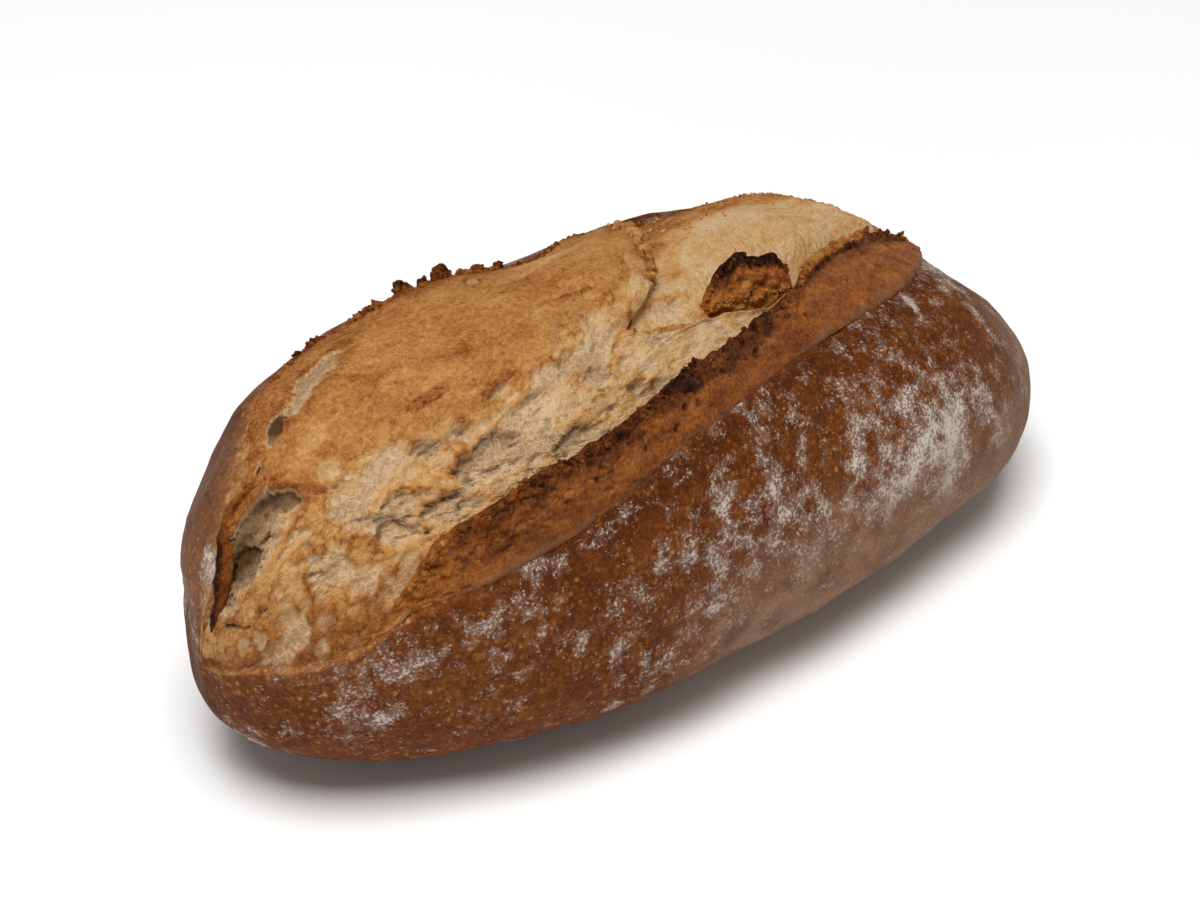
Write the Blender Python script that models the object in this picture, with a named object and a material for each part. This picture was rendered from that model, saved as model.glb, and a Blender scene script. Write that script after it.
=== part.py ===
"""Country loaf: an oval hearth loaf with one long split along its top.

The loaf is one solid.  It is a grid of closed rings across its length: each ring is
a rounded section with a flat foot, and the rings shrink to a point at both ends.
Four seams run along the loaf over the rings:

    ear foot     where the near crust turns up into the raised ear of the split
    ear crest    the torn top edge of the ear
    far lip      the far edge of the split
    far crust    where the far lip becomes plain crust

Between the ear crest and the far lip lies the risen crumb: two pillows with a step
between them, the torn holes, and a curled flake.  These are relief, measured square to
the smooth loaf.  +X runs along the loaf, -Y is the near crust, +Z is up, and the origin
is the middle of the foot.  Sizes below are in millimetres.
"""
import bmesh
import bpy
import numpy as np

MM = 0.001

# The smooth loaf
LENGTH = 270.0
WIDTH = 140.1
HEIGHT = 99.1              # at the middle; the left half stands higher
WIDEST_HEIGHT = 33.8       # where the sections are widest
WIDTH_TAPER = 0.07         # the right half is this much wider
HEIGHT_TAPER = 0.239       # and this much lower
FOOT_SINK = 4.1            # how far the round belly would reach below the flat foot
SIDE_BOW = 1.6             # the loaf's middle line bends to the near side
SIDE_SKEW = 12.3           # and drifts to the far side from left to right
END_LIFT = (5.1, 2.4)      # the widest line rises this much at the left and right ends
PLAN_POWER = (1.918, 3.713)     # pointed left end, blunt right end, seen from above
PROFILE_POWER = (2.774, 2.449)  # the same, seen from the side
CHANGE_OVER = 0.25         # share of the half length over which left turns into right
FAR_CORNER = 0.3           # the far right corner is rounder: this share narrower at the tip
FAR_CORNER_START = 0.35    # from this share of the half length
UPPER_POWER = 2.137        # how square a section is above its widest line
LOWER_POWER = 2.188        # and below it

# Seams: station angle along the loaf, and angle round the ring, in degrees.  The
# station angle is -90 at the left tip and 90 at the right one.  Round the ring 0 is
# the near side, 90 the top and 180 the far side.
EAR_FOOT = ((-90, 4), (-74, 11), (-60, 13), (-48, 21), (-37, 26), (-21, 34), (-9, 42),
            (3, 48), (18, 56), (42, 67), (52, 74), (60, 81), (66, 87), (90, 87))
EAR_CREST = ((-90, 12), (-74, 18), (-60, 30), (-50, 35), (-40, 40), (-28, 45), (-17, 50),
             (-6, 56), (5, 61), (16, 67), (25, 77), (40, 86), (52, 92), (66, 94), (90, 94))
FAR_LIP = ((-90, 62), (-79, 64), (-70, 78), (-60, 86), (-45, 102), (-37, 101), (-22, 98),
           (-14, 101), (-5, 113), (5, 127), (16, 133), (42, 133), (54, 123), (66, 101), (90, 101))
FAR_CRUST = ((-90, 84), (-79, 86), (-66, 98), (-56, 116), (-40, 119), (-22, 117), (-10, 119),
             (0, 129), (10, 138), (28, 141), (44, 139), (56, 128), (68, 107), (90, 107))

# Relief, square to the smooth loaf
RIM_SAG = ((-90, 0.0), (-72, -0.4), (-60, -2.6), (-48, 1.0), (-36, -1.0), (-20, -1.6),
           (3, -7.2), (16, -4.2), (30, -2.6), (40, -0.8), (50, -2.0), (60, -4.2), (66, 0.0),
           (90, 0.0))      # the far shoulder, from the smooth loaf
SAG_ANGLE = 126.0          # where round the ring the sag is deepest
SAG_SPREAD = 34.0          # and the angle over which it fades
EAR_LIFT = ((-90, 0.0), (-66, 0.3), (-45, 1.4), (-20, 2.2), (10, 2.6), (35, 3.0),
            (54, 2.4), (62, 2.4), (67, 0.0), (90, 0.0))
EAR_CREASE = 1.0           # depth of the crease at the ear's foot
CREASE_WIDTH = 2.5         # degrees round the ring
SPLIT_END = 68.0           # the split closes at this station
SPLIT_FADE = 8.0           # and fades out over this much before it
VALLEY_DEPTH = 4.0         # the crumb lies this far down behind the ear crest
VALLEY_WIDTH = 0.10        # as a share of the split's width
CROWN = 1.8                # the crumb's pillow stands this far out in the middle
FAR_TROUGH = 2.0           # dip along the far lip
TROUGH_WIDTH = 0.12        # as a share of the split's width
FAR_LIP_LIFT = 1.4
STEP_DROP = 4.0            # the right pillow starts this far below the left one
STEP_END_X = 70.0          # and has caught up here
STEP_LINE = ((-24.0, -13.0), (-16.0, -2.0), (-9.0, 9.0), (13.0, 22.0), (40.0, 26.0))  # y, x
STEP_EDGE = 1.6            # half the width over which the step falls
RIM_KEPT = 0.08            # holes fade out over this share of the split beside the ear
HOLE_REACH = 1.4           # a hole ends where the square of its distance reaches this
LUMP = 0.55                # unevenness of the whole loaf: its height
LONG_WAVE = (13.0, 11.0, 17.0)   # and its waves, in mm for each radian along x, y, z
SHORT_WAVE = (7.3, 7.5)          # the shorter waves, along x and z
NARROWEST_EAR = 1.0        # degrees, where the ear closes at the ends
NARROWEST_SPLIT = 4.0
NARROWEST_LIP = 2.0
TIP_FADE = 10.0            # relief fades out over this angle before each tip
FOOT_FADE = 8.0            # and over this height above the flat foot

# Torn holes in the crumb: x, y, z, reach along x, y, z, depth
HOLES = (
    (-71.0, -42.0, 93.0, 12.0, 8.0, 9.0, 4.5),      # the large torn hole by the ear
    (-83.0, -43.0, 89.0, 7.0, 4.0, 5.0, 3.0),       # the small one beside it
    (-125.0, -24.0, 78.0, 8.0, 7.0, 14.0, 6.0),     # the hollow under the hooked left end
    (-47.0, -44.0, 93.0, 9.0, 6.0, 6.0, 2.5),       # the nook by the burnt crest
    (4.0, -22.0, 96.0, 13.0, 5.0, 8.0, 2.6),        # the hollow at the foot of the step
    (-92.0, 0.0, 103.0, 11.0, 4.0, 8.0, 2.2),       # the slit along the far lip
    (34.0, -15.0, 91.0, 14.0, 6.0, 8.0, -4.6),      # the curled flake, a lump
)
# Dips and lumps anywhere on the loaf, as above
DENTS = (
    (124.0, 2.0, 57.0, 14.0, 22.0, 14.0, 4.0),      # past the ear's right end
    (-133.0, -4.0, 46.0, 10.0, 16.0, 16.0, 1.8),    # the left tip, under the hook
    (-32.0, 37.0, 92.0, 4.0, 5.0, 6.0, -3.6),       # crags on the far lip
    (-44.0, 34.0, 93.0, 4.0, 5.0, 6.0, -1.6),
)

# Mesh: stations along the loaf, and rows between the seams
SMALL_TURN = 0.4           # degrees, to find which way the surface faces
STATIONS = 104
ROWS_NEAR = 14
ROWS_EAR = 5
ROWS_CRUMB = 18
ROWS_LIP = 4
ROWS_FAR = 12

CRUST_COLOUR = (0.22, 0.075, 0.025, 1.0)
CRUST_ROUGHNESS = 0.6


def through(knots, at):
    """A smooth curve through (place, value) knots that never overshoots them.

    Each piece is a cubic.  The slope at a knot is the harmonic mean of the slopes to its
    two neighbours, and nought where they differ in sign and at the two ends.
    """
    place, value = np.array(knots, float).T
    chord = np.diff(value) / np.diff(place)
    product = chord[:-1] * chord[1:]
    total = np.where(product > 0, chord[:-1] + chord[1:], 1)
    slope = np.pad(np.where(product > 0, 2 * product / total, 0), 1)
    piece = np.clip(np.searchsorted(place, at) - 1, 0, len(place) - 2)
    width = place[piece + 1] - place[piece]
    s = np.clip((at - place[piece]) / width, 0, 1)
    rise = value[piece + 1] - value[piece]
    bend_in = slope[piece] * width - rise
    bend_out = rise - slope[piece + 1] * width
    return value[piece] + rise * s + s * (1 - s) * (bend_in * (1 - s) + bend_out * s)


def soft_step(value):
    """0 below 0, 1 above 1, and a smooth s-curve between."""
    s = np.clip(value, 0, 1)
    return s * s * (3 - 2 * s)


def smooth_loaf(station, angle):
    """The loaf without relief: a superellipse ring at each station, cut flat at z = 0."""
    t = np.sin(np.radians(station))
    right = 0.5 + 0.5 * np.tanh(t / CHANGE_OVER)
    plan = PLAN_POWER[0] + (PLAN_POWER[1] - PLAN_POWER[0]) * right
    profile = PROFILE_POWER[0] + (PROFILE_POWER[1] - PROFILE_POWER[0]) * right
    reach = np.minimum(np.abs(t), 1)
    plan_share = (1 - reach ** plan) ** (1 / plan)
    profile_share = (1 - reach ** profile) ** (1 / profile)
    lift = np.where(t < 0, END_LIFT[0], END_LIFT[1]) * reach ** 3
    half_width = WIDTH / 2 * plan_share * (1 + WIDTH_TAPER * t)
    past = np.clip((t - FAR_CORNER_START) / (1 - FAR_CORNER_START), 0, 1)
    middle = WIDEST_HEIGHT * (1 - HEIGHT_TAPER / 2 * t)
    above = (HEIGHT * (1 - HEIGHT_TAPER * t) - middle - lift) * profile_share
    below = (middle + lift + FOOT_SINK) * profile_share
    centre_y = SIDE_SKEW * t - SIDE_BOW * (1 - t ** 2)
    cosine = np.cos(np.radians(angle))
    sine = np.sin(np.radians(angle))
    power = np.where(sine >= 0, 2 / UPPER_POWER, 2 / LOWER_POWER)
    x = LENGTH / 2 * t + 0 * angle
    far_side = np.where(cosine < 0, 1 - FAR_CORNER * past ** 2, 1)
    y = centre_y - half_width * far_side * np.sign(cosine) * np.abs(cosine) ** power
    z = middle + lift + np.where(sine >= 0, above, -below) * np.abs(sine) ** power
    return np.stack([x, y, np.maximum(z, 0)], -1)


def outward(station, angle):
    """Unit normals of the smooth loaf, from small steps along and round it."""
    inner = np.clip(station, -90 + SMALL_TURN, 90 - SMALL_TURN)
    along = smooth_loaf(inner + SMALL_TURN, angle) - smooth_loaf(inner - SMALL_TURN, angle)
    round_it = smooth_loaf(inner, angle + SMALL_TURN) - smooth_loaf(inner, angle - SMALL_TURN)
    normal = np.cross(along, round_it)
    size = np.linalg.norm(normal, axis=-1, keepdims=True)
    return normal / np.maximum(size, 1e-9)


def ring_angles(station):
    """Angles of the rows at each station, spread evenly between the seams."""
    seams = [through(seam, station) for seam in (EAR_FOOT, EAR_CREST, FAR_LIP, FAR_CRUST)]
    stops = [0 * station - 90] + seams + [0 * station + 270]
    rows = (ROWS_NEAR, ROWS_EAR, ROWS_CRUMB, ROWS_LIP, ROWS_FAR)
    parts = [low + (high - low) * np.linspace(0, 1, count, endpoint=False)
             for low, high, count in zip(stops[:-1], stops[1:], rows)]
    return np.concatenate(parts, axis=1)


def bump(point, hole_x, hole_y, hole_z, reach_x, reach_y, reach_z, depth):
    """A round-bottomed hole of the given reach, or a lump where depth is negative."""
    away = (((point[..., 0] - hole_x) / reach_x) ** 2 + ((point[..., 1] - hole_y) / reach_y) ** 2
            + ((point[..., 2] - hole_z) / reach_z) ** 2)
    return -depth * soft_step(HOLE_REACH - away)


def relief(station, angle, point):
    """Height square to the smooth loaf: ear, crumb pillows, step, far lip and holes."""
    foot, crest, lip, far = (through(seam, station)
                             for seam in (EAR_FOOT, EAR_CREST, FAR_LIP, FAR_CRUST))
    x, y, z = point[..., 0], point[..., 1], point[..., 2]
    opened = soft_step((SPLIT_END - station) / SPLIT_FADE)

    up_ear = np.clip((angle - foot) / np.maximum(crest - foot, NARROWEST_EAR), 0, 1)
    crease = EAR_CREASE * opened * np.exp(-((angle - foot) / CREASE_WIDTH) ** 2)
    ear = through(EAR_LIFT, station) * up_ear - crease

    across = np.clip((angle - crest) / np.maximum(lip - crest, NARROWEST_SPLIT), 0, 1)
    valley = VALLEY_DEPTH * np.exp(-across / VALLEY_WIDTH)
    trough = FAR_TROUGH * np.exp(-(1 - across) / TROUGH_WIDTH)
    step_x = np.interp(y, *np.array(STEP_LINE).T)
    dropped = soft_step((x - step_x) / (2 * STEP_EDGE) + 0.5)
    caught_up = soft_step((STEP_END_X - x) / STEP_END_X)
    step = STEP_DROP * dropped * caught_up * np.sin(np.pi * across)
    crumb = (CROWN * np.sin(np.pi * across) - valley - trough - step) * opened
    crumb += soft_step(across / RIM_KEPT) * sum(bump(point, *hole) for hole in HOLES)

    over_lip = np.clip((angle - lip) / np.maximum(far - lip, NARROWEST_LIP), 0, 1)
    crust = FAR_LIP_LIFT * opened * np.sin(np.pi * over_lip)

    height = np.where(angle <= crest, ear, np.where(angle < lip, crumb, crust))
    height += through(RIM_SAG, station) * soft_step(1 - np.abs(angle - SAG_ANGLE) / SAG_SPREAD)
    height += sum(bump(point, *dent) for dent in DENTS)
    long_waves = np.sin(x / LONG_WAVE[0]) * np.sin(y / LONG_WAVE[1] + z / LONG_WAVE[2])
    short_waves = np.sin(x / SHORT_WAVE[0] + np.sin(z / SHORT_WAVE[1])) / 2
    smooth_tips = soft_step((90 - np.abs(station)) / TIP_FADE)
    uneven = LUMP * (long_waves + short_waves)
    return (height + uneven) * smooth_tips * soft_step(z / FOOT_FADE)


def loaf_points():
    """All ring points, pushed out by the relief, with the box centred on the origin."""
    station = np.linspace(-90, 90, STATIONS + 2)[1:-1, None]
    angle = ring_angles(station)
    station = station + 0 * angle
    smooth = smooth_loaf(station, angle)
    height = relief(station, angle, smooth)
    point = smooth + outward(station, angle) * height[..., None]
    point[..., 2] = np.where(smooth[..., 2] <= 0, 0, np.maximum(point[..., 2], 0))
    ends = np.stack([smooth_loaf(np.array(tip), np.array(90.0)) for tip in (-90.0, 90.0)])
    every = np.concatenate([point.reshape(-1, 3), ends])
    shift = -(every.min(0) + every.max(0)) / 2
    shift[2] = 0
    return (point + shift) * MM, (ends + shift) * MM


def make_loaf():
    """Join the rings into one closed skin, with a fan of triangles at each tip."""
    rings, ends = loaf_points()
    skin = bmesh.new()
    rows = [[skin.verts.new(point) for point in ring] for ring in rings]
    for here, there in zip(rows[:-1], rows[1:]):
        for k in range(len(here)):
            after = (k + 1) % len(here)
            skin.faces.new((here[k], there[k], there[after], here[after]))
    for tip, ring in ((skin.verts.new(ends[0]), rows[0]), (skin.verts.new(ends[1]), rows[-1])):
        for k in range(len(ring)):
            skin.faces.new((tip, ring[k], ring[(k + 1) % len(ring)]))
    bmesh.ops.triangulate(skin, faces=skin.faces)
    bmesh.ops.recalc_face_normals(skin, faces=skin.faces)
    mesh = bpy.data.meshes.new("loaf")
    skin.to_mesh(mesh)
    skin.free()
    mesh.shade_smooth()
    loaf = bpy.data.objects.new("loaf", mesh)
    bpy.context.scene.collection.objects.link(loaf)
    return loaf


def baked_crust():
    """Browned, dry bread crust."""
    crust = bpy.data.materials.new("baked_crust")
    crust.use_nodes = True
    shader = crust.node_tree.nodes["Principled BSDF"]
    shader.inputs["Base Color"].default_value = CRUST_COLOUR
    shader.inputs["Roughness"].default_value = CRUST_ROUGHNESS
    shader.inputs["Metallic"].default_value = 0.0
    return crust


for thing in list(bpy.data.objects):
    bpy.data.objects.remove(thing, do_unlink=True)
make_loaf().data.materials.append(baked_crust())
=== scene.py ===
"""The looks of a country loaf: an oval hearth loaf with one long split along its top.

A place on the loaf is a station along it and an angle round it, both in degrees, on the
smooth loaf that the crust's section defines.  Sizes are in millimetres, and become metres
where a mesh is made.  +X runs along the loaf, -Y is the floured near side and +Z is up.
"""

import bpy
import numpy as np
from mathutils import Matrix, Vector


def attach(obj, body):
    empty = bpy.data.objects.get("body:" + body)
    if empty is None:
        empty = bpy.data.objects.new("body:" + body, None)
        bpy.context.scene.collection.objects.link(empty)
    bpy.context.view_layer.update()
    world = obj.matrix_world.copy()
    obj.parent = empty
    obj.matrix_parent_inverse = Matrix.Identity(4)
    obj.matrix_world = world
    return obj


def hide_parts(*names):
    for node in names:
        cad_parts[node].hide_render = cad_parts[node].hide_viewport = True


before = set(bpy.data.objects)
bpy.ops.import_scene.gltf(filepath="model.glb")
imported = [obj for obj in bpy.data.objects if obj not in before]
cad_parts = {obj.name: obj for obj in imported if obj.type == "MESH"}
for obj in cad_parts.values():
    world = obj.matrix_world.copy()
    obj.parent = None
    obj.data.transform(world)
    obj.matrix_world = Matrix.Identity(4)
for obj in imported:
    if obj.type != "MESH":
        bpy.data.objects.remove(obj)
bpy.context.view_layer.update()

# ------------------------------------------------------------------------------- crust
# The crust is the loaf's baked skin, wheat dough dusted with flour before it went into the
# oven.  It is one closed shell round the whole loaf.  Under the split it lies sunk, because
# the crumb broke through there, and the torn pieces below sit in that bed.
MM = 0.001
LENGTH = 270.0
WIDTH = 140.1
HEIGHT = 99.1
WIDEST_HEIGHT = 33.8
WIDTH_TAPER = 0.07
HEIGHT_TAPER = 0.239
FOOT_SINK = 4.1
SIDE_BOW = 1.6
SIDE_SKEW = 12.3
END_LIFT = (5.1, 2.4)
PLAN_POWER = (1.918, 3.713)
PROFILE_POWER = (2.774, 2.449)
CHANGE_OVER = 0.25
FAR_CORNER = 0.3
FAR_CORNER_START = 0.35
UPPER_POWER = 2.137
LOWER_POWER = 2.188
MIDDLE = np.array((0.34, -1.34, 0.0))    # moves the loaf's box onto the middle of its foot
SMALL_TURN = 0.4

EAR_FOOT = ((-90, 4), (-74, 11), (-60, 13), (-48, 21), (-37, 26), (-21, 34), (-9, 42),
            (3, 48), (18, 56), (42, 67), (52, 74), (60, 81), (66, 87), (90, 87))
EAR_CREST = ((-90, 12), (-74, 18), (-60, 30), (-50, 35), (-40, 40), (-28, 45), (-17, 50),
             (-6, 56), (5, 61), (16, 67), (25, 77), (40, 86), (52, 92), (66, 94), (90, 94))
FAR_LIP = ((-90, 62), (-79, 64), (-70, 78), (-60, 86), (-45, 102), (-37, 101), (-22, 98),
           (-14, 101), (-5, 113), (5, 127), (16, 133), (42, 133), (54, 123), (66, 101), (90, 101))

FAR_EDGE = ((-90, 62), (-79, 64), (-70, 78), (-60, 88), (-54, 101), (-47, 111), (-40, 115),
            (-22, 114), (-10, 117), (0, 127), (10, 136), (28, 139), (44, 137), (56, 126),
            (68, 105), (90, 105))      # where the torn crumb meets the far crust

RIM_SAG = ((-90, 0.0), (-72, -0.4), (-60, -2.6), (-48, 1.0), (-36, -1.0), (-20, -1.6),
           (3, -7.2), (16, -4.2), (30, -2.6), (40, -0.8), (50, -2.0), (60, -4.2), (66, 0.0),
           (90, 0.0))
SAG_ANGLE = 126.0
SAG_SPREAD = 34.0
DENTS = (      # place, reach along x, y and z, depth
    ((124, 2, 57), (14, 22, 14), 4.0),      # past the ear's right end
    ((-133, -4, 46), (10, 16, 16), 1.8),    # the left tip, under the hook
)
DENT_EDGE = 1.4            # where a dent ends, in reaches squared
LUMP = 0.55
LONG_WAVE = (13.0, 11.0, 17.0)
SHORT_WAVE = (7.3, 7.5)
TIP_FADE = 10.0
FOOT_FADE = 8.0
SPLIT_END = 68.0
SPLIT_FADE = 8.0
BED_DEPTH = 9.0
BED_SHARE = 0.3            # the most that a bed sinks, as a share of the loaf's width there
CRUST_RINGS = 430

FLOUR_PATCHES = (      # x, z, reach along x and z, strength
    (70, 50, 9, 12, 1.38), (56, 54, 8, 9, 1.2), (33, 59, 6, 5, 0.91), (44, 59, 4, 5, 0.68),
    (37, 68, 5, 5, 0.81), (7, 74, 6, 6, 0.33), (18, 73, 5, 6, 0.4), (48, 80, 12, 3, 0.22),
    (64, 74, 6, 5, 0.33), (83, 60, 9, 8, 0.37), (92, 40, 7, 5, 0.72), (112, 36, 5, 12, 0.26),
    (42, 46, 9, 6, 1.17), (23, 45, 14, 6, 0.46), (3, 62, 8, 9, 0.89), (-12, 69, 5, 7, 0.71),
    (-25, 61, 11, 5, 0.73), (-10, 53, 9, 5, 0.31), (3, 45, 12, 7, 0.23), (-90, 57, 8, 4, 0.51),
    (-111, 41, 8, 8, 0.6), (-104, 51, 8, 4, 0.65), (-111, 30, 5, 6, 0.28), (-77, 60, 9, 3, 0.74),
    (-66, 69, 8, 4, 0.66), (-70, 53, 5, 3, 0.34), (-50, 42, 4, 3, 0.7), (-43, 55, 8, 6, 0.59),
    (-76, 43, 3, 3, 0.58), (-34, 31, 10, 8, 0.44), (-46, 22, 12, 3, 0.65), (82, 71, 1.6, 4, 0.85),
    (-131, 75, 3.5, 9, 1.6), (106, 58, 4, 6, 0.33), (120, 50, 4, 7, 0.66), (58, 66, 4, 4, 0.24),
    (-130, 25, 6, 10, 0.35), (61, 36, 9, 6, 0.51), (87, 51, 6, 6, 0.7), (-17, 41, 6, 10, 0.5),
    (17, 55, 6, 10, 0.62), (109, 63, 4, 4, 0.68), (66, 39, 9, 6, 0.53), (-10, 32, 9, 6, 0.31),
    (-126, 21, 4, 4, 0.35), (-24, 44, 6, 6, 0.41), (102, 66, 4, 4, 0.41),
)


def through(knots, at):
    """A smooth curve through (place, value) knots that never overshoots them.

    Each piece is a cubic.  The slope at a knot is the harmonic mean of the slopes to its
    two neighbours, and nought where they differ in sign and at the two ends.
    """
    place, value = np.array(knots, float).T
    chord = np.diff(value) / np.diff(place)
    product = chord[:-1] * chord[1:]
    total = np.where(product > 0, chord[:-1] + chord[1:], 1)
    slope = np.pad(np.where(product > 0, 2 * product / total, 0), 1)
    piece = np.clip(np.searchsorted(place, at) - 1, 0, len(place) - 2)
    width = place[piece + 1] - place[piece]
    s = np.clip((at - place[piece]) / width, 0, 1)
    rise = value[piece + 1] - value[piece]
    bend_in = slope[piece] * width - rise
    bend_out = rise - slope[piece + 1] * width
    return value[piece] + rise * s + s * (1 - s) * (bend_in * (1 - s) + bend_out * s)


def soft_step(value):
    """0 below 0, 1 above 1, and a smooth s-curve between."""
    s = np.clip(value, 0, 1)
    return s * s * (3 - 2 * s)


def hump(value, width):
    """A bell: e to the power of minus (value / width) squared, so 1 at 0 and nought far off."""
    return np.exp(-(value / width) ** 2)


def smooth_loaf(station, angle):
    """The loaf without relief: a superellipse ring at each station, cut flat at z = 0."""
    t = np.sin(np.radians(station))
    right = 0.5 + 0.5 * np.tanh(t / CHANGE_OVER)
    plan = PLAN_POWER[0] + (PLAN_POWER[1] - PLAN_POWER[0]) * right
    profile = PROFILE_POWER[0] + (PROFILE_POWER[1] - PROFILE_POWER[0]) * right
    reach = np.minimum(np.abs(t), 1)
    plan_share = (1 - reach ** plan) ** (1 / plan)
    profile_share = (1 - reach ** profile) ** (1 / profile)
    lift = np.where(t < 0, END_LIFT[0], END_LIFT[1]) * reach ** 3
    half_width = WIDTH / 2 * plan_share * (1 + WIDTH_TAPER * t)
    past = np.clip((t - FAR_CORNER_START) / (1 - FAR_CORNER_START), 0, 1)
    middle = WIDEST_HEIGHT * (1 - HEIGHT_TAPER / 2 * t)
    above = (HEIGHT * (1 - HEIGHT_TAPER * t) - middle - lift) * profile_share
    below = (middle + lift + FOOT_SINK) * profile_share
    centre_y = SIDE_SKEW * t - SIDE_BOW * (1 - t ** 2)
    cosine = np.cos(np.radians(angle))
    sine = np.sin(np.radians(angle))
    power = np.where(sine >= 0, 2 / UPPER_POWER, 2 / LOWER_POWER)
    x = LENGTH / 2 * t + 0 * angle
    far_side = np.where(cosine < 0, 1 - FAR_CORNER * past ** 2, 1)
    y = centre_y - half_width * far_side * np.sign(cosine) * np.abs(cosine) ** power
    z = middle + lift + np.where(sine >= 0, above, -below) * np.abs(sine) ** power
    return np.stack([x, y, np.maximum(z, 0)], -1)


def x_at(station):
    """How far along the loaf from its middle a station lies, in mm."""
    return LENGTH / 2 * np.sin(np.radians(station))


def spots(*parts):
    """Points from their coordinates, each spread over the whole grid."""
    return np.stack(np.broadcast_arrays(*parts), -1)


def directions(station, angle):
    """Unit vectors out of the smooth loaf, across it to larger angles, and along it to +X."""
    inner = np.clip(station, -90 + SMALL_TURN, 90 - SMALL_TURN)
    along = smooth_loaf(inner + SMALL_TURN, angle) - smooth_loaf(inner - SMALL_TURN, angle)
    across = smooth_loaf(inner, angle + SMALL_TURN) - smooth_loaf(inner, angle - SMALL_TURN)
    both = (np.cross(along, across), across, along)
    return [v / np.maximum(np.linalg.norm(v, axis=-1, keepdims=True), 1e-9) for v in both]


def on_loaf(station, angle, height=0.0, across=0.0, along=0.0):
    """Points of the smooth loaf, moved out by height and sideways by across and along."""
    steps = directions(station, angle)
    moved = [unit * np.asarray(by)[..., None] for unit, by in zip(steps, (height, across, along))]
    return smooth_loaf(station, angle) + sum(moved)


FINE_STATIONS = np.linspace(-90, 90, 3001)
SHOULDER = 75.0


def walk(station):
    """How many mm along the loaf's shoulder a station lies from the left tip."""
    steps = np.linalg.norm(np.diff(smooth_loaf(FINE_STATIONS, SHOULDER), axis=0), axis=1)
    return np.interp(station, FINE_STATIONS, np.concatenate([[0], np.cumsum(steps)]))


def even_stations(low, high, count):
    """That many stations from low to high, evenly spaced along the loaf's shoulder."""
    start, end = walk(low), walk(high)
    place = start + (end - start) * np.linspace(0, 1, count)[:, None]
    return np.interp(place, walk(FINE_STATIONS), FINE_STATIONS)


def scatter(whole, seed):
    """A random share from 0 to 1 for each cell: an integer hash of its whole-number address."""
    mixed = np.full(whole.shape[:-1], seed * 7919 + 17, np.uint32)
    for axis in range(whole.shape[-1]):
        mixed = (mixed ^ whole[..., axis].astype(np.uint32)) * np.uint32(2654435761)
        mixed = mixed ^ (mixed >> np.uint32(15))
    return mixed / 2.0 ** 32


def clouds(point, size, seed, octaves=1):
    """Soft random hills from -1 to 1: random values at the corners of cells of that size,
    blended by an s-curve.  Each further octave is half as wide and half as high."""
    total = 0.0
    for octave in range(octaves):
        at = point * (2 ** octave / size) + 5.3 * octave
        low = np.floor(at).astype(np.int64)
        s = soft_step(at - low)
        for corner in np.ndindex(*(2,) * point.shape[-1]):
            weight = np.prod(np.where(corner, s, 1 - s), axis=-1)
            total += weight * (2 * scatter(low + corner, seed + octave) - 1) / 2 ** octave
    return total


def body_relief(station, angle, point):
    """What crust and crumb share: the sagging far shoulder, round-bottomed dents, and long
    low waves."""
    x, y, z = point[..., 0], point[..., 1], point[..., 2]
    sag = through(RIM_SAG, station) * soft_step(1 - np.abs(angle - SAG_ANGLE) / SAG_SPREAD)
    dents = sum(depth * soft_step(DENT_EDGE - (((point - place) / reach) ** 2).sum(-1))
                for place, reach, depth in DENTS)
    long_waves = np.sin(x / LONG_WAVE[0]) * np.sin(y / LONG_WAVE[1] + z / LONG_WAVE[2])
    short_waves = np.sin(x / SHORT_WAVE[0] + np.sin(z / SHORT_WAVE[1])) / 2
    fade = soft_step((90 - np.abs(station)) / TIP_FADE) * soft_step(z / FOOT_FADE)
    return (sag - dents + LUMP * (long_waves + short_waves)) * fade


def room_inside(station):
    """How far in a bed may lie at each station without coming out on the other side."""
    across = smooth_loaf(station, 180.0) - smooth_loaf(station, 0.0)
    return BED_SHARE * np.linalg.norm(across, axis=-1)


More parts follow.
